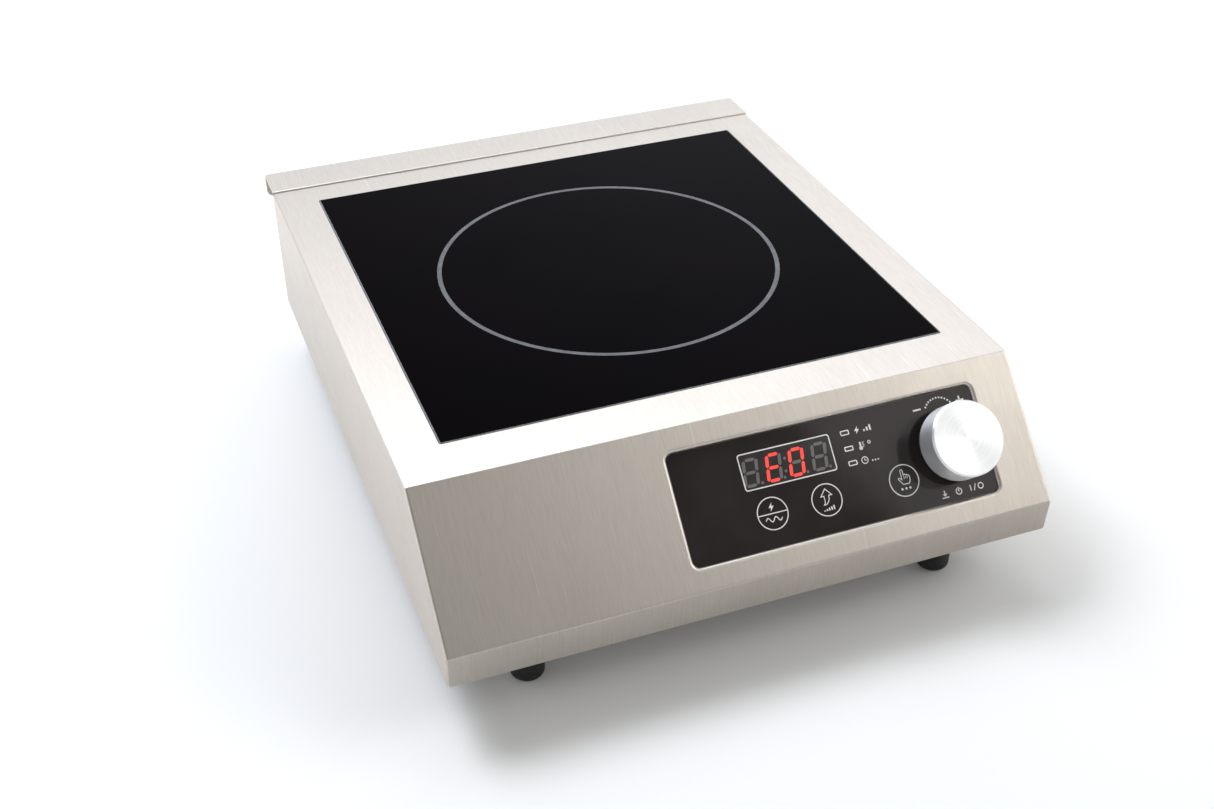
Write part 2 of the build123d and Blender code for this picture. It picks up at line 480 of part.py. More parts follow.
put("heatsink", hs)
put("igbts", box(6, 22, -6, 15, zt, hz - 0.05), box(34, 50, -6, 15, zt, hz - 0.05))
put("bridge_rectifier", box(12, 42, 26, 46, zt, hz - 0.05))
put("film_capacitors", fillet(box(88, 108, -40, 2, zt, zt + 34).edges().filter_by(Axis.Z), 1.5),
    fillet(box(112, 132, -40, 2, zt, zt + 34).edges().filter_by(Axis.Z), 1.5))
put("electrolytic_capacitors", cyl(9, 30, 96, 22, zt), cyl(9, 30, 120, 22, zt), cyl(6.5, 22, 96, 44, zt))
choke = Pos(116, 66, zt + 1.0) * Torus(13, 6.5, align=(C, C, LO))
put("line_choke", choke)
put("terminal_block", box(-8, 24, 76, 90, zt, zt + 14) - box(-4, 0, 82, 92, zt + 3, zt + 8) - box(6, 10, 82, 92, zt + 3, zt + 8) - box(16, 20, 82, 92, zt + 3, zt + 8))
fh = box(44, 72, 76, 88, zt, zt + 4) + box(44, 49, 76, 88, zt + 3.9, zt + 12) + box(67, 72, 76, 88, zt + 3.9, zt + 12)
put("fuse_holder", fh)
put("fuse_link", Pos(49.1, 82, zt + 8.2) * Rot(0, 90, 0) * Cylinder(3.0, 17.8, align=BASE))

# ---------------------------------------------------------------- cooling fan
Z_FAN = Z_B1 + 0.1
ff = rbox(FAN_W, FAN_W, FAN_T, 4.5) - Pos(0, 0, -1) * Cylinder(44.6, FAN_T + 2, align=BASE)
ff -= Pos(0, 0, 4) * (Box(FAN_W + 2, FAN_W + 2, FAN_T - 8, align=BASE) - Pos(0, 0, -1) * Cylinder(46.2, FAN_T, align=BASE))
for sx in (-1, 1):
    for sy in (-1, 1):
        ff -= cyl(2.15, FAN_T + 2, sx * FAN_H, sy * FAN_H, -1)
ff += Pos(0, 0, FAN_T - 3) * Cylinder(20.5, 3, align=BASE)
for k in range(4):
    ff += Rot(0, 0, 45 + 90 * k) * Pos(32.5, 0, FAN_T - 3) * Box(27, 4.5, 3, align=BASE)
ff += tube(4.2, 1.55, 16.0, 0, 0, FAN_T - 3 - 15.9)
ff -= Pos(0, 0, 5) * Cylinder(1.55, 17.5, align=BASE)
put("fan_frame", Pos(FAN_X, FAN_Y, Z_FAN) * ff)
st = tube(9.0, 4.25, 11.0, 0, 0, 9.0)
for k in range(6):
    arm = Rot(0, 0, 60 * k) * Pos(11, 0, 9.0) * Box(8, 4, 11, align=BASE)
    st += arm
st += tube(15.0, 13.4, 11.0, 0, 0, 9.0)
for k in range(6):
    st -= Rot(0, 0, 60 * k + 30) * Pos(14, 0, 8) * Box(6, 2, 14, align=BASE)
st -= Pos(0, 0, 8) * Cylinder(4.25, 14, align=BASE)
put("fan_stator", Pos(FAN_X, FAN_Y, Z_FAN) * st)
hub = cyl(19.2, 19.0, 0, 0, 1.5)
hub = fillet(hub.edges().filter_by(GeomType.CIRCLE).sort_by(Axis.Z)[0:1], 1.4)
hub -= cyl(16.2, 30, 0, 0, 3.7)
hub += cyl(1.5, 17.6, 0, 0, 3.5)
blades = None
for k in range(7):
    b = Pos(31, 0, 11) * Rot(38, 0, 0) * Box(30, 25, 1.6)
    b = b & tube(43.4, 18.4, 18.0, 0, 0, 2.0)
    hub += Rot(0, 0, 360 / 7 * k) * b
put("fan_rotor", Pos(FAN_X, FAN_Y, Z_FAN) * hub)
put("fan_screws", *[Pos(x, y, Z_B0) * (pan_screw(1.45, 1.1 + FAN_T + 5.2)) for x, y in FAN_FIX])
put("m3_nuts", *m3_nuts, *[hexa(5.5, 2.4, x, y, Z_FAN + FAN_T + 1.3) - cyl(1.5, 6, x, y, Z_FAN + FAN_T - 1) for x, y in FAN_FIX])

# air duct on top of the fan, open towards the heatsink
dz0, DUCT_H = Z_FAN + FAN_T + 0.05, 15.0
h2 = FAN_W / 2
duct = box(FAN_X - h2, FAN_X + h2, FAN_Y - h2, FAN_Y + h2, dz0, dz0 + DUCT_H)
duct -= box(FAN_X - h2 + 1.2, FAN_X + h2 + 2, FAN_Y - h2 + 1.2, FAN_Y + h2 - 1.2, dz0 - 1, dz0 + DUCT_H - 1.2)
for x, y in FAN_FIX:
    lug = box(x - 4.8, x + 4.8, y - 4.8, y + 4.8, dz0, dz0 + 1.2)
    duct += lug
for x, y in FAN_FIX:
    duct -= cyl(1.7, 4, x, y, dz0 - 1)
put("air_duct", duct)

for name, shape in NODES.items():
    export_step(shape, "parts/" + name + ".step")
print(len(NODES), "nodes")
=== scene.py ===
import json
import math

import bpy
from mathutils import Matrix, Vector


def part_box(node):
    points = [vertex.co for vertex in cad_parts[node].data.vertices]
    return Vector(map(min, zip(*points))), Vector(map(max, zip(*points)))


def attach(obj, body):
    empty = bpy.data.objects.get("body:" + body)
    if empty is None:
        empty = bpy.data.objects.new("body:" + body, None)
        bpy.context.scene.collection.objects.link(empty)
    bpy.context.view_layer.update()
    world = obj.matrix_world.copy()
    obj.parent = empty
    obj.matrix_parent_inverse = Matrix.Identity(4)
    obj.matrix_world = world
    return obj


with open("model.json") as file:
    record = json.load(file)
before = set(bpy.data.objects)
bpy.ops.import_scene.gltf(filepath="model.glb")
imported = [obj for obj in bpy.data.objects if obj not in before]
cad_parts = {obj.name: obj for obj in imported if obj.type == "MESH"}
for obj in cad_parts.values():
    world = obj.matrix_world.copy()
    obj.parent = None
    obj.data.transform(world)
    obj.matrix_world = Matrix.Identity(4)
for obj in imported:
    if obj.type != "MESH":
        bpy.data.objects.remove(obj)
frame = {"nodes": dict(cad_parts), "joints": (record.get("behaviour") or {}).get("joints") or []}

bpy.context.view_layer.update()

scene = bpy.context.scene
nodes = frame["nodes"]
MM = 0.001


def lin(r, g, b):
    """A display colour, 0 to 255, as linear values."""
    out = []
    for v in (r, g, b):
        v /= 255.0
        out.append(v / 12.92 if v <= 0.04045 else ((v + 0.055) / 1.055) ** 2.4)
    return tuple(out) + (1.0,)


# --------------------------------------------------------------------------
# Node building
# --------------------------------------------------------------------------
class Tree:
    """A short way of writing a material's nodes."""

    def __init__(self, name, spec=0.5, coat=0.0, coat_rough=0.1, aniso=0.0, ior=1.5):
        self.mat = bpy.data.materials.new(name)
        self.mat.use_nodes = True
        self.nt = self.mat.node_tree
        self.nt.nodes.clear()
        self.out = self.nt.nodes.new("ShaderNodeOutputMaterial")
        self.b = self.nt.nodes.new("ShaderNodeBsdfPrincipled")
        self.nt.links.new(self.b.outputs["BSDF"], self.out.inputs["Surface"])
        self.b.inputs["Specular IOR Level"].default_value = spec
        self.b.inputs["IOR"].default_value = ior
        self.b.inputs["Coat Weight"].default_value = coat
        self.b.inputs["Coat Roughness"].default_value = coat_rough
        self.b.inputs["Anisotropic"].default_value = aniso
        self.tc = self.nt.nodes.new("ShaderNodeTexCoord")

    def put(self, socket, value):
        if isinstance(value, bpy.types.NodeSocket):
            self.nt.links.new(value, socket)
        else:
            socket.default_value = value

    def mapped(self, scale=(1, 1, 1), loc=(0, 0, 0), rot=(0, 0, 0), source=None):
        n = self.nt.nodes.new("ShaderNodeMapping")
        n.inputs["Scale"].default_value = scale
        n.inputs["Location"].default_value = loc
        n.inputs["Rotation"].default_value = rot
        self.nt.links.new(source or self.tc.outputs["Object"], n.inputs["Vector"])
        return n.outputs["Vector"]

    def noise(self, vec, scale=1.0, detail=3.0, rough=0.55, distortion=0.0):
        n = self.nt.nodes.new("ShaderNodeTexNoise")
        n.inputs["Scale"].default_value = scale
        n.inputs["Detail"].default_value = detail
        n.inputs["Roughness"].default_value = rough
        n.inputs["Distortion"].default_value = distortion
        self.nt.links.new(vec, n.inputs["Vector"])
        return n.outputs["Fac"]

    def voronoi(self, vec, scale=1.0, feature="F1", out="Distance"):
        n = self.nt.nodes.new("ShaderNodeTexVoronoi")
        n.feature = feature
        n.inputs["Scale"].default_value = scale
        self.nt.links.new(vec, n.inputs["Vector"])
        return n.outputs[out]

    def math(self, op, a, b=None, c=None, clamp=False):
        n = self.nt.nodes.new("ShaderNodeMath")
        n.operation = op
        n.use_clamp = clamp
        self.put(n.inputs[0], a)
        if b is not None:
            self.put(n.inputs[1], b)
        if c is not None:
            self.put(n.inputs[2], c)
        return n.outputs[0]

    def vmath(self, op, a, b=None):
        n = self.nt.nodes.new("ShaderNodeVectorMath")
        n.operation = op
        self.put(n.inputs[0], a)
        if b is not None:
            self.put(n.inputs[1], b)
        return n.outputs["Value"] if op in ("DOT_PRODUCT", "LENGTH") else n.outputs["Vector"]

    def span(self, v, lo, hi, a=0.0, b=1.0, smooth=False):
        n = self.nt.nodes.new("ShaderNodeMapRange")
        n.interpolation_type = "SMOOTHSTEP" if smooth else "LINEAR"
        self.put(n.inputs["Value"], v)
        n.inputs["From Min"].default_value = lo
        n.inputs["From Max"].default_value = hi
        n.inputs["To Min"].default_value = a
        n.inputs["To Max"].default_value = b
        return n.outputs["Result"]

    def mix(self, fac, a, b, blend="MIX"):
        n = self.nt.nodes.new("ShaderNodeMix")
        n.data_type = "RGBA"
        n.blend_type = blend
        self.put(n.inputs[0], fac)
        self.put(n.inputs[6], a)
        self.put(n.inputs[7], b)
        return n.outputs[2]

    def mixf(self, fac, a, b):
        n = self.nt.nodes.new("ShaderNodeMix")
        n.data_type = "FLOAT"
        self.put(n.inputs[0], fac)
        self.put(n.inputs[2], a)
        self.put(n.inputs[3], b)
        return n.outputs[0]

    def mixv(self, fac, a, b):
        n = self.nt.nodes.new("ShaderNodeMix")
        n.data_type = "VECTOR"
        self.put(n.inputs[0], fac)
        self.put(n.inputs[4], a)
        self.put(n.inputs[5], b)
        return n.outputs[1]

    def xyz(self, vec):
        n = self.nt.nodes.new("ShaderNodeSeparateXYZ")
        self.nt.links.new(vec, n.inputs[0])
        return n.outputs[0], n.outputs[1], n.outputs[2]

    def join(self, x, y, z):
        n = self.nt.nodes.new("ShaderNodeCombineXYZ")
        self.put(n.inputs[0], x)
        self.put(n.inputs[1], y)
        self.put(n.inputs[2], z)
        return n.outputs[0]

    def bump(self, height, strength=0.3, distance=0.0001, normal=None):
        n = self.nt.nodes.new("ShaderNodeBump")
        n.inputs["Strength"].default_value = strength
        n.inputs["Distance"].default_value = distance
        self.nt.links.new(height, n.inputs["Height"])
        if normal is not None:
            self.nt.links.new(normal, n.inputs["Normal"])
        return n.outputs["Normal"]

    def edge(self, radius=0.0005, lo=0.90, hi=0.995):
        """1 on a sharp outside or inside edge, 0 on a flat."""
        bev = self.nt.nodes.new("ShaderNodeBevel")
        bev.samples = 4
        bev.inputs["Radius"].default_value = radius
        geo = self.nt.nodes.new("ShaderNodeNewGeometry")
        d = self.vmath("DOT_PRODUCT", bev.outputs["Normal"], geo.outputs["Normal"])
        return self.span(d, lo, hi, 1.0, 0.0)

    def set(self, **kw):
        names = {
            "color": "Base Color", "rough": "Roughness", "metal": "Metallic", "normal": "Normal",
            "tangent": "Tangent", "emit": "Emission Color", "glow": "Emission Strength",
            "alpha": "Alpha",
        }
        for k, v in kw.items():
            self.put(self.b.inputs[names[k]], v)
        return self.mat


# --------------------------------------------------------------------------
# Materials
# --------------------------------------------------------------------------
def brushed_steel(name, light, dark, rough=0.47, aniso=0.45, along="Y"):
    """Brushed sheet: long fine streaks along the grain. The grain follows the fold down the
    side walls, so the streaks turn with the object normal."""
    t = Tree(name, aniso=aniso)
    nx, ny, nz = t.xyz(t.tc.outputs["Normal"])
    side = t.span(t.math("ABSOLUTE", nx), 0.6, 0.8, smooth=True)

    def streaks(sx, low, detail, rg=0.6):
        if along == "Y":
            a = t.noise(t.mapped((sx, low, low)), 1.0, detail, rg)
            b = t.noise(t.mapped((low, low, sx)), 1.0, detail, rg)
        else:
            a = t.noise(t.mapped((low, sx, sx)), 1.0, detail, rg)
            b = t.noise(t.mapped((low, low, sx)), 1.0, detail, rg)
        return t.mixf(side, a, b)

    fine = streaks(4200.0, 130.0, 2.0, 0.5)
    mid = streaks(1900.0, 70.0, 2.0, 0.5)
    wide = streaks(560.0, 24.0, 2.0, 0.5)
    broad = streaks(60.0, 5.0, 2.0, 0.5)
    cloud = t.noise(t.mapped((16.0, 16.0, 16.0)), 1.0, 4.0, 0.6)
    s = t.math("MULTIPLY", fine, 0.44)
    s = t.math("MULTIPLY_ADD", mid, 0.36, s)
    s = t.math("MULTIPLY_ADD", wide, 0.13, s)
    s = t.math("MULTIPLY_ADD", broad, 0.07, s)
    tone = t.span(s, 0.33, 0.67)
    col = t.mix(tone, dark, light)
    col = t.mix(t.span(cloud, 0.35, 0.75, 0.0, 0.16), col, lin(176, 168, 160))
    # rubbed edges: smoother at every fold, with their colour lifted towards near white as a painted highlight
    rubbed_edge_highlight = t.edge(0.0006, 0.86, 0.99)
    col = t.mix(t.math("MULTIPLY", rubbed_edge_highlight, 0.35), col, lin(246, 243, 238))
    # painted shade: the low front strip is mixed a little towards dark grey, as if it mirrored the shaded floor in
    # front of it
    px, py, pz = t.xyz(t.tc.outputs["Object"])
    front_strip_painted_shade = t.span(t.math("MULTIPLY", ny, -1.0), 0.86, 0.98, smooth=True)
    low = t.span(pz, 0.058, 0.066, 1.0, 0.0, smooth=True)
    col = t.mix(t.math("MULTIPLY", t.math("MULTIPLY", front_strip_painted_shade, low), 0.17), col, lin(64, 60, 56))
    # scattered hairline scratches, a little off the grain
    scr = t.noise(t.mapped((1500.0, 20.0, 20.0), rot=(0.0, 0.0, 0.05)), 1.0, 0.0)
    scratch = t.math("MULTIPLY", t.span(scr, 0.80, 0.86), t.math("SUBTRACT", 1.0, side))
    col = t.mix(t.math("MULTIPLY", scratch, 0.30), col, lin(250, 248, 244))
    r = t.span(s, 0.34, 0.66, rough + 0.045, rough - 0.035)
    r = t.math("ADD", r, t.span(cloud, 0.3, 0.7, -0.02, 0.03))
    r = t.math("SUBTRACT", r, t.math("MULTIPLY", rubbed_edge_highlight, 0.05))
    nrm = t.bump(s, 0.18, 0.00005)
    if along == "Y":
        tan = t.mixv(side, (1.0, 0.0, 0.0), (0.0, 0.0, 1.0))
    else:
        tan = t.mixv(side, (0.0, 1.0, 0.0), (0.0, 0.0, 1.0))
    return t.set(color=col, rough=r, metal=1.0, normal=nrm, tangent=tan)


def moulded(name, light, dark, rough=0.45, grain=1400.0, var=60.0, bump=0.25, depth=0.00005,
            metal=0.0, spec=0.45, edge=None, edge_amount=0.4, stretch=(1, 1, 1), coat=0.0, rspan=0.08):
    """Plastic, rubber, cast or rolled metal: slow colour drift, fine grain, rubbed edges."""
    t = Tree(name, spec=spec, coat=coat)
    base = t.mapped(stretch)
    slow = t.noise(base, var, 3.0, 0.55)
    fine = t.noise(base, grain, 3.0, 0.6)
    col = t.mix(t.span(slow, 0.3, 0.7), dark, light)
    col = t.mix(t.span(fine, 0.45, 0.75, 0.0, 0.35), col, light)
    r = t.span(fine, 0.3, 0.7, rough - rspan * 0.5, rough + rspan * 0.5)
    r = t.math("ADD", r, t.span(slow, 0.3, 0.7, -rspan * 0.4, rspan * 0.4))
    if edge is not None:
        e = t.edge(0.0004)
        col = t.mix(t.math("MULTIPLY", e, edge_amount), col, edge)
        r = t.math("SUBTRACT", r, t.math("MULTIPLY", e, 0.08))
    nrm = t.bump(fine, bump, depth)
    return t.set(color=col, rough=r, metal=metal, normal=nrm)


def centre_of(node):
    lo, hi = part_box(node)
    return (lo + hi) / 2


joint = {j["name"]: j for j in frame["joints"]}
K = Vector(joint["knob_turn"]["pos_m"])
N = Vector(joint["knob_turn"]["axis"]).normalized()
U = Vector((1.0, 0.0, 0.0))
D = U.cross(N)
ZONE = centre_of("litz_coil")


def black_glass():
    t = Tree("black_glass", spec=0.008, ior=1.5)
    nx, ny, nz = t.xyz(t.tc.outputs["Normal"])
    ground = t.span(nz, 0.90, 0.985, 1.0, 0.0)
    slow = t.noise(t.mapped((11.0, 11.0, 11.0)), 1.0, 3.0, 0.5)
    speck = t.noise(t.mapped((1600.0, 1600.0, 1600.0)), 1.0, 2.0, 0.5)
    smear = t.noise(t.mapped((22.0, 60.0, 22.0), rot=(0, 0, 0.5)), 1.0, 4.0, 0.65)
    col = t.mix(t.span(slow, 0.3, 0.7), lin(4, 3, 4), lin(8, 4, 7))
    col = t.mix(t.span(speck, 0.72, 0.80, 0.0, 0.35), col, lin(34, 30, 36))
    frost = t.mix(t.span(speck, 0.35, 0.65), lin(96, 98, 98), lin(150, 152, 152))
    col = t.mix(ground, col, frost)
    r = t.span(smear, 0.35, 0.75, 0.035, 0.085)
    r = t.mixf(ground, r, 0.42)
    waves = t.noise(t.mapped((30.0, 30.0, 30.0)), 1.0, 1.0, 0.4)
    grain = t.math("MULTIPLY_ADD", speck, t.math("MULTIPLY", ground, 0.4), t.math("MULTIPLY", waves, 0.2))
    return t.set(color=col, rough=r, normal=t.bump(grain, 0.12, 0.00005))


def overlay_film():
    """Dark glossy membrane with a faint moulded tooth and a lighter rim where it was cut."""
    t = Tree("overlay_film", spec=0.42, ior=1.48)
    slow = t.noise(t.mapped((24.0, 24.0, 24.0)), 1.0, 3.0, 0.5)
    fine = t.noise(t.mapped((2400.0, 2400.0, 2400.0)), 1.0, 2.0, 0.55)
    smear = t.noise(t.mapped((90.0, 40.0, 40.0), rot=(0.2, 0.1, 0.4)), 1.0, 4.0, 0.65)
    col = t.mix(t.span(slow, 0.3, 0.7), lin(40, 34, 33), lin(50, 43, 42))
    col = t.mix(t.span(fine, 0.55, 0.8, 0.0, 0.3), col, lin(60, 55, 54))
    e = t.edge(0.0005)
    col = t.mix(t.math("MULTIPLY", e, 0.5), col, lin(92, 86, 82))
    r = t.span(smear, 0.35, 0.75, 0.07, 0.14)
    return t.set(color=col, rough=r, normal=t.bump(fine, 0.06, 0.00002))


def knob_aluminium():
    """Turned and polished cap: concentric tool marks, so the light spreads along the radius."""
    t = Tree("knob_aluminium", aniso=0.6)
    p = t.vmath("SUBTRACT", t.tc.outputs["Object"], tuple(K))
    axial = t.vmath("DOT_PRODUCT", p, tuple(N))
    inplane = t.vmath("SUBTRACT", p, t.vmath("MULTIPLY", t.join(axial, axial, axial), tuple(N)))
    radius = t.vmath("LENGTH", inplane)
    face = t.vmath("DOT_PRODUCT", t.tc.outputs["Normal"], tuple(N))
    on_face = t.span(t.math("ABSOLUTE", face), 0.75, 0.95)
    rings_a = t.noise(t.join(t.math("MULTIPLY", radius, 5200.0), t.math("MULTIPLY", axial, 40.0), 0.0), 1.0, 2.0, 0.5)
    rings_b = t.noise(t.join(t.math("MULTIPLY", radius, 1100.0), t.math("MULTIPLY", axial, 10.0), 3.0), 1.0, 2.0, 0.5)
    turned = t.noise(t.join(t.math("MULTIPLY", axial, 4200.0), t.math("MULTIPLY", radius, 30.0), 7.0), 1.0, 2.0, 0.5)
    marks = t.mixf(on_face, turned, t.math("MULTIPLY_ADD", rings_a, 0.6, t.math("MULTIPLY", rings_b, 0.4)))
    slow = t.noise(t.mapped((70.0, 70.0, 70.0)), 1.0, 3.0, 0.5)
    col = t.mix(t.span(marks, 0.32, 0.68), lin(222, 223, 224), lin(243, 244, 244))
    col = t.mix(t.span(slow, 0.4, 0.75, 0.0, 0.10), col, lin(222, 221, 219))
    # painted highlight: the cap's edges and rim are lifted towards white
    rubbed_edge_highlight = t.edge(0.0005, 0.84, 0.99)
    col = t.mix(t.math("MULTIPLY", rubbed_edge_highlight, 0.5), col, lin(252, 252, 251))
    r = t.mixf(on_face, t.span(marks, 0.3, 0.7, 0.48, 0.40), t.span(marks, 0.3, 0.7, 0.43, 0.34))
    tangent_side = t.vmath("CROSS_PRODUCT", inplane, tuple(N))
    tan = t.mixv(on_face, tuple(N), t.vmath("NORMALIZE", inplane))
    return t.set(color=col, rough=r, metal=1.0, normal=t.bump(marks, 0.16, 0.00004), tangent=tan)


def black_rubber():
    t = Tree("black_rubber", spec=0.35)
    slow = t.noise(t.mapped((90.0, 90.0, 90.0)), 1.0, 3.0, 0.55)
    fine = t.noise(t.mapped((2600.0, 2600.0, 2600.0)), 1.0, 3.0, 0.6)
    dust = t.noise(t.mapped((420.0, 420.0, 420.0)), 1.0, 4.0, 0.7)
    px, py, pz = t.xyz(t.tc.outputs["Object"])
    low = t.span(pz, 0.0, 0.006, 1.0, 0.0, smooth=True)
    col = t.mix(t.span(slow, 0.3, 0.7), lin(20, 20, 22), lin(34, 33, 35))
    col = t.mix(t.math("MULTIPLY", t.span(dust, 0.5, 0.8), t.math("MULTIPLY_ADD", low, 0.35, 0.10)), col, lin(122, 118, 112))
    e = t.edge(0.0005)
    col = t.mix(t.math("MULTIPLY", e, 0.35), col, lin(70, 69, 70))
    r = t.span(fine, 0.3, 0.7, 0.42, 0.62)
    return t.set(color=col, rough=r, normal=t.bump(fine, 0.35, 0.00005))


def litz():
    t = Tree("copper_litz", spec=0.5)
    p = t.vmath("SUBTRACT", t.tc.outputs["Object"], (ZONE.x, ZONE.y, 0.0))
    x, y, z = t.xyz(p)
    rad = t.math("SQRT", t.math("MULTIPLY_ADD", x, x, t.math("MULTIPLY", y, y)))
    ang = t.math("ARCTAN2", y, x)
    turn = t.math("MULTIPLY_ADD", rad, 2.0 * math.pi / 0.0029, ang)
    wave = t.math("SINE", turn)
    strand = t.math("SINE", t.math("MULTIPLY_ADD", ang, 260.0, t.math("MULTIPLY", rad, 4200.0)))
    fine = t.noise(t.mapped((900.0, 900.0, 900.0)), 1.0, 2.0, 0.5)
    col = t.mix(t.span(wave, -1.0, -0.2), lin(74, 30, 14), lin(198, 112, 62))
    col = t.mix(t.span(strand, 0.0, 1.0, 0.0, 0.45), col, lin(232, 156, 104))
    col = t.mix(t.span(fine, 0.45, 0.75, 0.0, 0.3), col, lin(150, 74, 40))
    h = t.math("MULTIPLY_ADD", wave, 0.7, t.math("MULTIPLY", strand, 0.15))
    return t.set(color=col, rough=t.span(fine, 0.3, 0.7, 0.28, 0.42), metal=0.9, normal=t.bump(h, 0.7, 0.0004))


def board():
    t = Tree("green_board", spec=0.5, coat=0.25, coat_rough=0.2)
    base = t.mapped((1.0, 1.0, 1.0))
    cells = t.voronoi(base, 260.0, "DISTANCE_TO_EDGE", "Distance")
    brick = t.nt.nodes.new("ShaderNodeTexBrick")
    brick.inputs["Scale"].default_value = 150.0
    brick.inputs["Mortar Size"].default_value = 0.018
    t.nt.links.new(base, brick.inputs["Vector"])
    tracks = t.span(brick.outputs["Fac"], 0.2, 0.8)
    pads = t.span(t.voronoi(base, 380.0), 0.10, 0.14, 1.0, 0.0)
    fine = t.noise(base, 1800.0, 3.0, 0.6)
    col = t.mix(t.span(fine, 0.3, 0.7), lin(14, 66, 36), lin(22, 84, 46))
    col = t.mix(t.math("MULTIPLY", tracks, 0.6), col, lin(46, 126, 70))
    col = t.mix(t.span(cells, 0.0, 0.03, 0.35, 0.0), col, lin(52, 132, 76))
    col = t.mix(t.math("MULTIPLY", pads, 0.85), col, lin(190, 188, 180))
    return t.set(color=col, rough=t.span(fine, 0.3, 0.7, 0.30, 0.42), normal=t.bump(tracks, 0.2, 0.00008))


def mica():
    t = Tree("mica", spec=0.5)
    base = t.mapped((1.0, 1.0, 1.0))
    flake = t.voronoi(base, 420.0, "F1", "Color")
    fine = t.noise(base, 900.0, 4.0, 0.6)
    fx, fy, fz = t.xyz(flake)
    col = t.mix(t.span(fx, 0.0, 1.0), lin(176, 164, 140), lin(222, 214, 196))
    col = t.mix(t.span(fine, 0.4, 0.7, 0.0, 0.4), col, lin(240, 236, 224))
    return t.set(color=col, rough=t.span(fy, 0.0, 1.0, 0.3, 0.6), normal=t.bump(fx, 0.3, 0.0001))


def label_foil():
    """Blank foil plate with a printed double rule round its edge and no lettering."""
    t = Tree("label_foil", aniso=0.3)
    lo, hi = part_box("rating_plate")
    cx, cz = (lo.x + hi.x) / 2, (lo.z + hi.z) / 2
    hx, hz = (hi.x - lo.x) / 2, (hi.z - lo.z) / 2
    x, y, z = t.xyz(t.tc.outputs["Object"])
    dx = t.math("SUBTRACT", hx, t.math("ABSOLUTE", t.math("SUBTRACT", x, cx)))
    dz = t.math("SUBTRACT", hz, t.math("ABSOLUTE", t.math("SUBTRACT", z, cz)))
    d = t.math("MINIMUM", dx, dz)
    rule = t.math("LESS_THAN", t.math("ABSOLUTE", t.math("SUBTRACT", d, 0.0016)), 0.00035)
    rule2 = t.math("LESS_THAN", t.math("ABSOLUTE", t.math("SUBTRACT", d, 0.0028)), 0.00014)
    ink = t.math("MAXIMUM", rule, rule2)
    brush = t.noise(t.mapped((60.0, 60.0, 2600.0)), 1.0, 3.0, 0.6)
    slow = t.noise(t.mapped((60.0, 60.0, 60.0)), 1.0, 3.0, 0.5)
    col = t.mix(t.span(brush, 0.3, 0.7), lin(178, 180, 182), lin(214, 216, 218))
    col = t.mix(t.span(slow, 0.4, 0.75, 0.0, 0.2), col, lin(150, 150, 150))
    col = t.mix(ink, col, lin(34, 34, 36))
    r = t.mixf(ink, t.span(brush, 0.3, 0.7, 0.30, 0.40), 0.55)
    m = t.math("SUBTRACT", 1.0, t.math("MULTIPLY", ink, 0.95))
    return t.set(color=col, rough=r, metal=m, normal=t.bump(brush, 0.15, 0.00004))


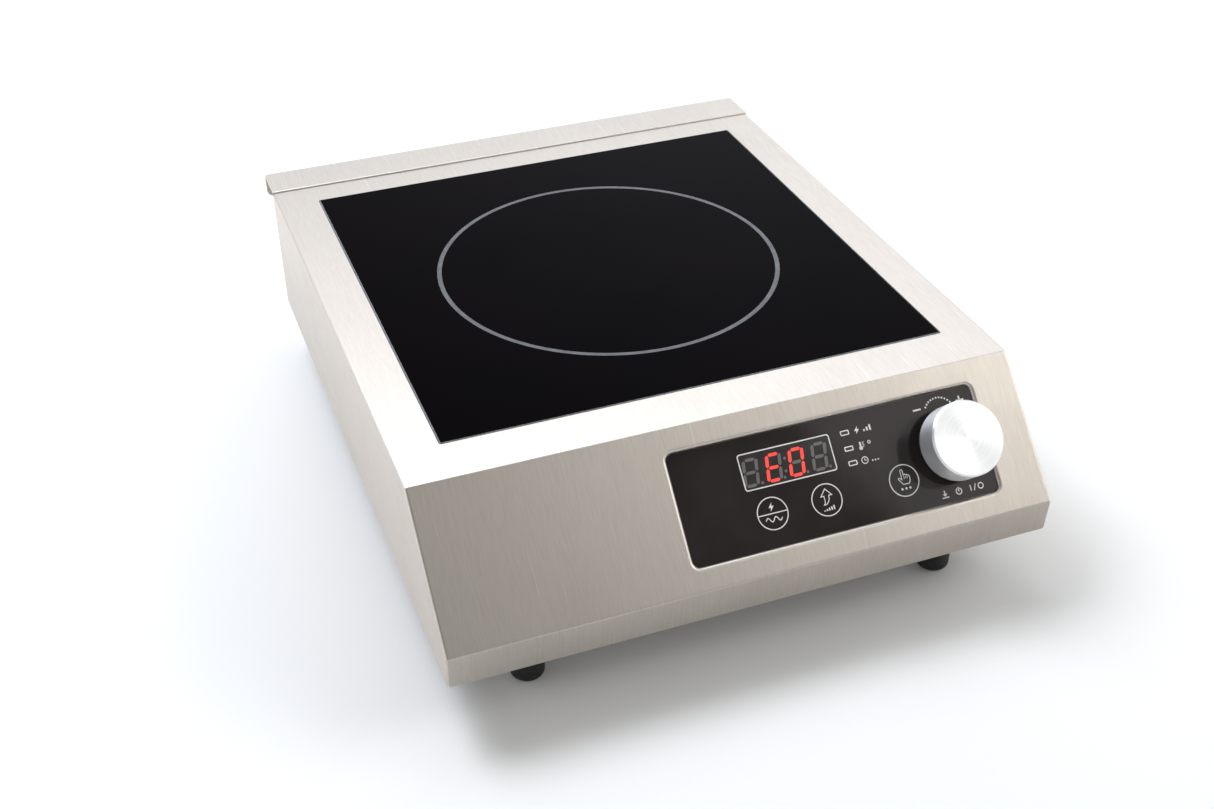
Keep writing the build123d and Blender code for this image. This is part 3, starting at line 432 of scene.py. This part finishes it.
M = {
    "housing_steel": brushed_steel("housing_steel", lin(207, 199, 191), lin(193, 184, 175)),
    "base_steel": brushed_steel("base_steel", lin(206, 204, 200), lin(176, 172, 167), rough=0.47, aniso=0.35, along="X"),
    "black_glass": black_glass(),
    "sealant": moulded("sealant", lin(62, 62, 62), lin(40, 40, 41), rough=0.5, grain=1200, bump=0.3, edge=lin(96, 95, 94)),
    "screw_steel": moulded("screw_steel", lin(206, 205, 202), lin(168, 166, 162), rough=0.28, grain=1800, var=120, metal=1.0, bump=0.15, edge=lin(240, 239, 236)),
    "label_foil": label_foil(),
    "rivet_aluminium": moulded("rivet_aluminium", lin(216, 217, 219), lin(180, 181, 184), rough=0.32, grain=1600, metal=1.0, bump=0.15, edge=lin(244, 244, 245)),
    "gland_nylon": moulded("gland_nylon", lin(40, 40, 42), lin(26, 26, 28), rough=0.42, grain=1500, bump=0.25, edge=lin(86, 86, 88)),
    "black_rubber": black_rubber(),
    "overlay_film": overlay_film(),
    "zinc_sheet": moulded("zinc_sheet", lin(196, 198, 198), lin(150, 153, 155), rough=0.38, grain=160, var=40, metal=1.0, bump=0.08, edge=lin(226, 227, 227)),
    "green_board": board(),
    "nylon_white": moulded("nylon_white", lin(232, 230, 222), lin(212, 209, 199), rough=0.45, grain=1300, bump=0.2, edge=lin(246, 245, 240)),
    "display_plastic": moulded("display_plastic", lin(52, 50, 50), lin(36, 35, 35), rough=0.35, grain=1200, bump=0.15, edge=lin(90, 88, 86)),
    "led_plastic": moulded("led_plastic", lin(214, 60, 44), lin(168, 36, 28), rough=0.22, grain=800, bump=0.08, edge=lin(240, 120, 96)),
    "conductive_foam": moulded("conductive_foam", lin(70, 70, 72), lin(44, 44, 46), rough=0.85, grain=1500, bump=0.8, depth=0.0002, edge=lin(96, 96, 98)),
    "black_plastic": moulded("black_plastic", lin(30, 30, 31), lin(18, 18, 19), rough=0.38, grain=1500, bump=0.22, edge=lin(78, 78, 80), edge_amount=0.3),
    "zinc_die_cast": moulded("zinc_die_cast", lin(184, 184, 182), lin(150, 150, 150), rough=0.42, grain=900, metal=1.0, bump=0.35, edge=lin(220, 220, 218)),
    "knob_aluminium": knob_aluminium(),
    "mica": mica(),
    "copper_litz": litz(),
    "former_plastic": moulded("former_plastic", lin(66, 62, 58), lin(46, 43, 40), rough=0.55, grain=1000, bump=0.3, edge=lin(110, 104, 98)),
    "ferrite": moulded("ferrite", lin(62, 61, 62), lin(40, 40, 42), rough=0.6, grain=2200, bump=0.5, edge=lin(110, 109, 110)),
    "shield_aluminium": moulded("shield_aluminium", lin(208, 209, 211), lin(172, 174, 177), rough=0.36, grain=1200, metal=1.0, bump=0.2, stretch=(1, 0.12, 1), edge=lin(236, 237, 238)),
    "silicone_white": moulded("silicone_white", lin(232, 231, 226), lin(210, 208, 200), rough=0.55, grain=1400, bump=0.25, edge=lin(246, 246, 242)),
    "capacitor_yellow": moulded("capacitor_yellow", lin(232, 186, 44), lin(206, 158, 26), rough=0.4, grain=1000, bump=0.15, edge=lin(246, 214, 110)),
    "capacitor_sleeve": moulded("capacitor_sleeve", lin(38, 44, 66), lin(24, 28, 46), rough=0.32, grain=1200, bump=0.12, edge=lin(84, 92, 118)),
    "terminal_plastic": moulded("terminal_plastic", lin(226, 222, 208), lin(202, 197, 180), rough=0.45, grain=1100, bump=0.2, edge=lin(242, 240, 230)),
    "ceramic_tube": moulded("ceramic_tube", lin(238, 236, 230), lin(216, 213, 205), rough=0.3, grain=1500, bump=0.2, edge=lin(250, 249, 246)),
}

for node, obj in nodes.items():
    for k, m in enumerate(obj.data.materials):
        key = m.name.split(".")[0] if m else ""
        if key in M:
            obj.material_slots[k].material = M[key]
        else:
            raise SystemExit(f"no material for slot {key!r} of node {node}")


def ink(name, light, dark, rough=0.12, spec=0.42, glow=None, strength=1.0):
    """Screen ink under the same gloss as the film round it, a little mottled."""
    t = Tree(name, spec=spec, ior=1.48)
    slow = t.noise(t.mapped((160.0, 160.0, 160.0)), 1.0, 3.0, 0.5)
    fine = t.noise(t.mapped((5200.0, 5200.0, 5200.0)), 1.0, 3.0, 0.6)
    col = t.mix(t.span(slow, 0.3, 0.7), dark, light)
    col = t.mix(t.span(fine, 0.5, 0.8, 0.0, 0.35), col, dark)
    r = t.span(fine, 0.3, 0.7, rough - 0.03, rough + 0.05)
    if glow is not None:
        hot = t.mix(t.span(fine, 0.4, 0.8, 0.0, 0.2), glow, lin(255, 120, 96))
        return t.set(color=col, rough=r, normal=t.bump(fine, 0.05, 0.00001), emit=hot, glow=strength)
    return t.set(color=col, rough=r, normal=t.bump(fine, 0.05, 0.00001))


PRINT = ink("print_white", lin(238, 235, 229), lin(222, 218, 211))
WINDOW = ink("display_window", lin(64, 59, 59), lin(52, 48, 48), rough=0.10)
SEG_OFF = ink("segment_off", lin(118, 115, 112), lin(104, 102, 99), rough=0.16)
SEG_ON = ink("segment_lit", lin(190, 52, 42), lin(168, 40, 32), rough=0.16, glow=lin(255, 82, 70), strength=0.88)
LENS = ink("lamp_window", lin(70, 62, 60), lin(52, 46, 45), rough=0.10)
RING = ink("zone_ring", lin(104, 104, 106), lin(88, 88, 90), rough=0.3, spec=0.08)

# --------------------------------------------------------------------------
# Printed shapes: thin prisms on a plane
# --------------------------------------------------------------------------
film = nodes["control_overlay"].data.vertices
H_FILM = max((v.co - K).dot(N) for v in film)
X0, S0 = 117.5, 41.7  # the knob axis in the panel's own millimetres: across, and down the slope


def panel(x, s, h=0.0):
    return K + U * ((x - X0) * MM) + D * ((s - S0) * MM) + N * (H_FILM + h * MM)


GLASS_LO, GLASS_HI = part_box("glass_plate")


def glass(x, y, h=0.0):
    return Vector((ZONE.x + x * MM, ZONE.y + y * MM, GLASS_HI.z + h * MM))


def prisms(name, shapes, mat, place=panel, h=0.03, flip=True, body="body"):
    """shapes: each is (outer loop, inner loop or None). A loop is a list of 2-D points."""
    verts, faces = [], []
    for outer, inner in shapes:
        n = len(outer)
        b = len(verts)
        verts += [place(x, y, h) for x, y in outer]
        verts += [place(x, y, 0.0) for x, y in outer]
        for i in range(n):
            j = (i + 1) % n
            faces.append((b + i, b + n + i, b + n + j, b + j))
        if inner is None:
            faces.append(tuple(range(b, b + n)))
        else:
            c = len(verts)
            verts += [place(x, y, h) for x, y in inner]
            verts += [place(x, y, 0.0) for x, y in inner]
            for i in range(n):
                j = (i + 1) % n
                faces.append((b + i, b + j, c + j, c + i))
                faces.append((c + j, c + n + j, c + n + i, c + i))
    me = bpy.data.meshes.new(name)
    me.from_pydata([tuple(v) for v in verts], [], faces)
    me.validate()
    me.update()
    # every top face looks outward
    up = N if place is panel else Vector((0, 0, 1))
    tops = [p for p in me.polygons if abs(p.normal.dot(up)) > 0.9]
    if tops and sum(p.normal.dot(up) * p.area for p in tops) < 0:
        me.flip_normals()
    o = bpy.data.objects.new(name, me)
    scene.collection.objects.link(o)
    o.data.materials.append(mat)
    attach(o, body)
    return o


def disc(cx, cy, r, n=24):
    return [(cx + r * math.cos(2 * math.pi * i / n), cy + r * math.sin(2 * math.pi * i / n)) for i in range(n)]


def ring(cx, cy, r, w, n=96):
    return disc(cx, cy, r + w / 2, n), disc(cx, cy, r - w / 2, n)


def rrect(x0, y0, x1, y1, r, n=6):
    pts = []
    for cx, cy, a in ((x1 - r, y1 - r, 0), (x0 + r, y1 - r, 90), (x0 + r, y0 + r, 180), (x1 - r, y0 + r, 270)):
        for i in range(n + 1):
            t = math.radians(a + 90 * i / n)
            pts.append((cx + r * math.cos(t), cy + r * math.sin(t)))
    return pts


def frame_line(x0, y0, x1, y1, r, w):
    return rrect(x0, y0, x1, y1, r), rrect(x0 + w, y0 + w, x1 - w, y1 - w, max(r - w, 0.05))


def stroke(pts, w, round_ends=True):
    """An open line as one filled outline, mitred at its corners."""
    n = len(pts)
    left, right = [], []
    for i in range(n):
        p = Vector(pts[i])
        d1 = (p - Vector(pts[i - 1])).normalized() if i else None
        d2 = (Vector(pts[i + 1]) - p).normalized() if i < n - 1 else None
        d = (d1 or d2) if (d1 is None or d2 is None) else (d1 + d2).normalized()
        k = 1.0
        if d1 is not None and d2 is not None:
            k = 1.0 / max(0.45, math.cos(0.5 * math.acos(max(-1.0, min(1.0, d1.dot(d2))))))
        nrm = Vector((-d.y, d.x)) * (w / 2 * k)
        left.append(tuple(p + nrm))
        right.append(tuple(p - nrm))
    out = list(left)
    if round_ends:
        out += cap_points(pts[-2], pts[-1], w)
    out += reversed(right)
    if round_ends:
        out += cap_points(pts[1], pts[0], w)
    return out, None


def cap_points(a, b, w, n=5):
    d = (Vector(b) - Vector(a)).normalized()
    side = Vector((-d.y, d.x))
    out = []
    for i in range(1, n):
        t = math.pi * i / n
        out.append(tuple(Vector(b) + side * (w / 2 * math.cos(t)) + d * (w / 2 * math.sin(t))))
    return out


def loop_line(pts, w):
    """A closed line as an outer and an inner loop."""
    n = len(pts)
    outer, inner = [], []
    for i in range(n):
        p, a, b = Vector(pts[i]), Vector(pts[i - 1]), Vector(pts[(i + 1) % n])
        d1, d2 = (p - a).normalized(), (b - p).normalized()
        d = (d1 + d2)
        d = d.normalized() if d.length > 1e-6 else d1
        k = 1.0 / max(0.4, math.cos(0.5 * math.acos(max(-1.0, min(1.0, d1.dot(d2))))))
        nrm = Vector((-d.y, d.x)) * (w / 2 * k)
        outer.append(tuple(p + nrm))
        inner.append(tuple(p - nrm))
    return outer, inner


def arc(cx, cy, r, a0, a1, n=20):
    return [(cx + r * math.cos(math.radians(a0 + (a1 - a0) * i / n)), cy + r * math.sin(math.radians(a0 + (a1 - a0) * i / n))) for i in range(n + 1)]


# Cooking zone ring on the glass
zr = [ring(0.0, 0.0, 98.4, 2.6, 256)]
prisms("zone_ring", zr, RING, place=glass, h=0.02)

# Display window and its printed frame
prisms("display_window", [(rrect(2.1, 21.7, 52.5, 39.75, 1.0), None)], WINDOW, h=0.012)
prisms("display_frame", [frame_line(1.5, 21.15, 53.1, 40.3, 1.6, 0.62)], PRINT)

# Seven-segment digits, leaning to the right
SLANT = math.tan(math.radians(9.0))
S_TOP, S_BOT = 24.1, 38.7
S_MID = (S_TOP + S_BOT) / 2


def seg(cx, pts):
    return [(cx + x + (S_MID - s) * SLANT, s) for x, s in pts]


def digit(cx, lit):
    """(shapes lit, shapes unlit). Segments a to g as usual."""
    w, v, hw = 3.475, 1.75, 0.80  # half centre-to-centre width, vertical bar width, half horizontal thickness
    gap = 0.22
    top, mid, bot = S_TOP + hw, S_MID, S_BOT - hw
    q = v / 2

    def horiz(sc):
        return [(-w + q * 0.55 + gap, sc), (-w + q + gap + 0.42, sc - hw), (w - q - gap - 0.42, sc - hw),
                (w - q * 0.55 - gap, sc), (w - q - gap - 0.42, sc + hw), (-w + q + gap + 0.42, sc + hw)]

    def vert(xc, sa, sb):
        sa += gap
        sb -= gap
        return [(xc, sa), (xc + q, sa + q * 0.9), (xc + q, sb - q * 0.9), (xc, sb), (xc - q, sb - q * 0.9), (xc - q, sa + q * 0.9)]

    segs = {
        "a": horiz(top), "g": horiz(mid), "d": horiz(bot),
        "f": vert(-w, top - hw * 0.35, mid), "b": vert(w, top - hw * 0.35, mid),
        "e": vert(-w, mid, bot + hw * 0.35), "c": vert(w, mid, bot + hw * 0.35),
    }
    on = [(seg(cx, p), None) for k, p in segs.items() if k in lit]
    off = [(seg(cx, p), None) for k, p in segs.items() if k not in lit]
    return on, off


on_all, off_all = [], []
for cx, lit in ((6.8, ""), (19.65, "adefg"), (32.3, "abcdef"), (45.15, "")):
    on, off = digit(cx, lit)
    on_all += on
    off_all += off
for x, s in ((26.5, 28.2), (25.4, 34.6), (11.5, 37.6), (24.0, 37.6), (36.9, 37.6), (49.6, 37.6)):
    off_all.append((disc(x, s, 0.75), None))
prisms("display_segments_unlit", off_all, SEG_OFF, h=0.022)
prisms("display_segments_lit", on_all, SEG_ON, h=0.026)

# Three lamp windows with a symbol beside each
lamp_rows = ((21.5, 24.1), (29.9, 32.45), (37.5, 40.15))
prisms("lamp_windows", [(rrect(59.9, a + 0.3, 64.3, b - 0.3, 0.3), None) for a, b in lamp_rows], LENS, h=0.012)
prisms("lamp_frames", [frame_line(59.6, a, 64.6, b, 0.6, 0.55) for a, b in lamp_rows], PRINT)

sym = []
# bolt and three rising bars
bx, bs = 69.0, 22.8
sym.append(([(bx + 0.75, bs - 2.0), (bx - 1.45, bs + 0.3), (bx - 0.2, bs + 0.3), (bx - 0.75, bs + 2.0), (bx + 1.45, bs - 0.4), (bx + 0.2, bs - 0.4)], None))
for i, hgt in enumerate((1.1, 2.0, 2.9)):
    x = 72.6 + i * 1.75
    sym.append(([(x, bs + 1.45 - hgt), (x + 0.95, bs + 1.45 - hgt), (x + 0.95, bs + 1.45), (x, bs + 1.45)], None))
# thermometer with graduations, and a degree ring
tx, ts = 68.8, 31.15
sym.append(stroke([(tx, ts - 1.7), (tx, ts + 0.7)], 0.95))
sym.append((disc(tx, ts + 1.15, 1.05, 20), None))
for k in range(4):
    sym.append(stroke([(tx + 1.15, ts - 1.6 + k * 0.75), (tx + (2.3 if k % 2 == 0 else 1.85), ts - 1.6 + k * 0.75)], 0.34, False))
sym.append(ring(73.9, ts - 1.0, 0.72, 0.42, 24))
# clock and three dots
cx, cs = 69.0, 38.8
sym.append(ring(cx, cs, 1.72, 0.46, 40))
sym.append(stroke([(cx, cs - 1.1), (cx, cs + 0.1), (cx + 0.95, cs + 0.1)], 0.4, False))
for k in range(3):
    sym.append((disc(73.2 + k * 1.6, cs + 1.0, 0.46, 16), None))
prisms("lamp_symbols", sym, PRINT)

# Three touch keys
keys = ((12.4, 53.75), (42.75, 53.75), (87.1, 53.75))
prisms("key_circles", [ring(x, s, 8.2, 0.55, 96) for x, s in keys], PRINT)
ks = []
x, s = keys[0]
ks.append(stroke([(x - 8.0, s), (x + 8.0, s)], 0.55, False))
ks.append(([(x + 0.75, s - 5.6), (x - 1.45, s - 3.0), (x - 0.2, s - 3.0), (x - 0.8, s - 1.0), (x + 1.5, s - 3.75), (x + 0.25, s - 3.75)], None))
ks.append(stroke([(x - 4.4 + 8.8 * i / 40, s + 3.0 - 1.15 * math.sin(2 * math.pi * 2 * i / 40)) for i in range(41)], 0.5))
x, s = keys[1]
arrow = [(x + 0.3, 48.1), (x + 3.3, 51.7), (x + 1.55, 51.7), (x + 1.35, 53.4), (x + 0.55, 54.9), (x - 0.7, 56.0),
         (x - 2.2, 56.1), (x - 1.35, 55.2), (x - 1.15, 53.8), (x - 1.15, 51.7), (x - 2.9, 51.7)]
ks.append(loop_line(arrow, 0.45))
for i in range(5):
    hgt = 0.55 + 0.42 * i
    xx = x - 3.0 + i * 1.35
    ks.append(([(xx, 59.3 - hgt), (xx + 0.75, 59.3 - hgt), (xx + 0.75, 59.3), (xx, 59.3)], None))
x, s = keys[2]
hand = [(x - 0.75, 48.1), (x + 0.05, 48.1), (x + 0.3, 48.7), (x + 0.3, 51.0), (x + 1.1, 50.6), (x + 1.5, 51.2), (x + 2.2, 50.9),
        (x + 2.7, 51.6), (x + 3.2, 51.6), (x + 3.5, 52.3), (x + 3.4, 54.0), (x + 2.6, 55.7), (x - 0.9, 55.7), (x - 2.0, 54.2),
        (x - 3.0, 52.6), (x - 2.6, 52.0), (x - 1.9, 52.3), (x - 1.1, 53.2), (x - 1.0, 48.7)]
ks.append(loop_line(hand, 0.42))
for q in (0.7, 1.6, 2.5):
    ks.append(stroke([(x + q - 0.35, 51.6), (x + q - 0.35, 53.0)], 0.3, False))
for i in range(3):
    ks.append((disc(x - 2.3 + 2.3 * i, 58.0, 0.62, 20), None))
prisms("key_symbols", ks, PRINT)

# Scale round the knob: minus, plus and a dotted arc
sc = [stroke([(102.85, 20.0), (107.4, 20.0)], 0.92, False),
      stroke([(128.1, 19.9), (132.9, 19.9)], 0.9, False),
      stroke([(130.5, 17.6), (130.5, 22.2)], 0.9, False)]
for i in range(11):
    a = math.radians(-54.5 + 10.9 * i)
    sc.append((disc(117.6 + 8.95 * math.sin(a), 24.9 - 8.95 * math.cos(a), 0.52, 16), None))
prisms("knob_scale", sc, PRINT)

# Press symbol, standby symbol, I and O under the knob
px, ps = 117.9, 65.9
pr = [stroke([(px - 10.6, ps - 1.9), (px - 10.6, ps + 0.2)], 0.6, False),
      ([(px - 12.0, ps - 0.2), (px - 9.2, ps - 0.2), (px - 10.6, ps + 1.2)], None),
      stroke([(px - 12.6, ps + 1.75), (px - 8.6, ps + 1.75)], 0.5, False),
      stroke(arc(px - 2.4, ps + 0.1, 1.6, -60, 240, 28), 0.52),
      stroke([(px - 2.4, ps - 1.95), (px - 2.4, ps + 0.1)], 0.52),
      stroke([(px + 4.6, ps - 1.55), (px + 4.6, ps + 1.55)], 0.58, False),
      stroke([(px + 6.4, ps + 1.75), (px + 7.8, ps - 1.75)], 0.44, False),
      ring(px + 10.6, ps, 1.45, 0.54, 36)]
prisms("press_symbols", pr, PRINT)

# --------------------------------------------------------------------------
# Floor, light, camera
# --------------------------------------------------------------------------
def floor_material():
    """A pale sweep that is lit a little from within, more so away from the object."""
    t = Tree("floor_pale", spec=0.2)
    slow = t.noise(t.mapped((1.3, 1.3, 1.3)), 1.0, 3.0, 0.5)
    fine = t.noise(t.mapped((260.0, 260.0, 260.0)), 1.0, 3.0, 0.6)
    col = t.mix(t.span(slow, 0.3, 0.7), (0.722, 0.71, 0.695, 1), (0.742, 0.73, 0.715, 1))
    col = t.mix(t.span(fine, 0.4, 0.8, 0.0, 0.2), col, (0.712, 0.70, 0.685, 1))
    off = t.vmath("SUBTRACT", t.tc.outputs["Object"], (0.14, -0.07, 0.0))
    far = t.span(t.vmath("LENGTH", off), 0.30, 1.35, 0.04, 0.92, smooth=True)
    return t.set(color=col, rough=t.span(fine, 0.3, 0.7, 0.75, 0.85), emit=(1.0, 1.0, 1.0, 1.0), glow=far)


me = bpy.data.meshes.new("floor")
e = 30.0
me.from_pydata([(-e, -e, 0), (e, -e, 0), (e, e, 0), (-e, e, 0)], [], [(0, 1, 2, 3)])
floor = bpy.data.objects.new("floor", me)
scene.collection.objects.link(floor)
floor.data.materials.append(floor_material())


def area(name, at, to, size, size_y, power, color=(1, 1, 1), spread=180):
    l = bpy.data.lights.new(name, "AREA")
    l.shape = "RECTANGLE"
    l.size, l.size_y = size, size_y
    l.energy = power
    l.color = color
    l.spread = math.radians(spread)
    o = bpy.data.objects.new(name, l)
    scene.collection.objects.link(o)
    o.location = at
    o.rotation_mode = "QUATERNION"
    o.rotation_quaternion = (Vector(to) - Vector(at)).to_track_quat("-Z", "Y")
    return o


AIM = (0.0, 0.0, 0.1)
area("softbox_back", (0.15, 0.95, 1.75), AIM, 2.2, 1.0, 17.5, (0.945, 1.0, 1.085))
area("softbox_back_left", (-0.7, 0.8, 1.6), AIM, 1.0, 1.0, 28.3, (0.945, 1.0, 1.085))
area("softbox_right", (1.5, -0.5, 1.1), AIM, 1.4, 1.2, 19.6, (0.985, 0.993, 0.965))
area("fill_left", (-1.4, -0.15, 0.5), AIM, 1.2, 0.8, 3.4)
area("fill_front_right", (1.05, -0.95, 1.2), AIM, 0.8, 0.8, 2.2, (1.0, 0.985, 0.955))

world = bpy.data.worlds.new("studio")
scene.world = world
world.use_nodes = True
nt = world.node_tree
nt.nodes.clear()
wo = nt.nodes.new("ShaderNodeOutputWorld")
bg = nt.nodes.new("ShaderNodeBackground")
nt.links.new(bg.outputs[0], wo.inputs[0])
tc = nt.nodes.new("ShaderNodeTexCoord")


def w_lobe(direction, sharp, gain):
    """A soft round patch of light on the dome: gain * exp(sharp * (cos(angle) - 1))."""
    d = nt.nodes.new("ShaderNodeVectorMath")
    d.operation = "DOT_PRODUCT"
    nt.links.new(tc.outputs["Generated"], d.inputs[0])
    d.inputs[1].default_value = Vector(direction).normalized()
    m = nt.nodes.new("ShaderNodeMath")
    m.operation = "MULTIPLY_ADD"
    nt.links.new(d.outputs["Value"], m.inputs[0])
    m.inputs[1].default_value, m.inputs[2].default_value = sharp, -sharp
    e = nt.nodes.new("ShaderNodeMath")
    e.operation = "EXPONENT"
    nt.links.new(m.outputs[0], e.inputs[0])
    g = nt.nodes.new("ShaderNodeMath")
    g.operation = "MULTIPLY"
    nt.links.new(e.outputs[0], g.inputs[0])
    g.inputs[1].default_value = gain
    return g.outputs[0]


def w_add(a, b):
    n = nt.nodes.new("ShaderNodeMath")
    n.operation = "ADD"
    for k, v in enumerate((a, b)):
        if isinstance(v, float):
            n.inputs[k].default_value = v
        else:
            nt.links.new(v, n.inputs[k])
    return n.outputs[0]


def sky(azimuth, elevation):
    az, el = math.radians(azimuth), math.radians(elevation)
    return (math.sin(az) * math.cos(el), math.cos(az) * math.cos(el), math.sin(el))


glow = w_add(w_lobe(sky(28, 24), 22.0, 1.75), w_lobe(sky(0, 28), 22.0, 0.20))
glow = w_add(glow, w_lobe(sky(-14, 3), 14.0, 0.60))  # pale panel low behind the object
lift = nt.nodes.new("ShaderNodeSeparateXYZ")
nt.links.new(tc.outputs["Generated"], lift.inputs[0])
band = nt.nodes.new("ShaderNodeMapRange")
band.interpolation_type = "SMOOTHSTEP"
nt.links.new(lift.outputs["Z"], band.inputs["Value"])
band.inputs["From Min"].default_value, band.inputs["From Max"].default_value = 0.10, 0.38
band.inputs["To Min"].default_value, band.inputs["To Max"].default_value = 0.70, 0.0
strength = w_add(w_add(glow, band.outputs["Result"]), 0.11)
nt.links.new(strength, bg.inputs["Strength"])
bg.inputs["Color"].default_value = (0.95, 0.995, 1.05, 1.0)

scene.view_settings.view_transform = "Standard"
scene.view_settings.look = "None"
scene.view_settings.exposure = 0.0
scene.view_settings.gamma = 1.0

cam_data = bpy.data.cameras.new("camera")
cam_data.lens = 46.42
cam_data.sensor_width = 36.0
cam_data.sensor_fit = "HORIZONTAL"
cam_data.clip_start, cam_data.clip_end = 0.01, 50.0
cam = bpy.data.objects.new("camera", cam_data)
scene.collection.objects.link(cam)
r_, u_, f_ = Vector((0.93565, -0.35276, -0.01052)), Vector((0.20776, 0.52646, 0.82443)), Vector((0.28529, 0.77357, -0.56587))
rot = Matrix((r_, u_, -f_)).transposed()
cam.matrix_world = Matrix.Translation((-0.27780, -0.73464, 0.56097)) @ rot.to_4x4()
scene.camera = cam

bpy.context.view_layer.update()
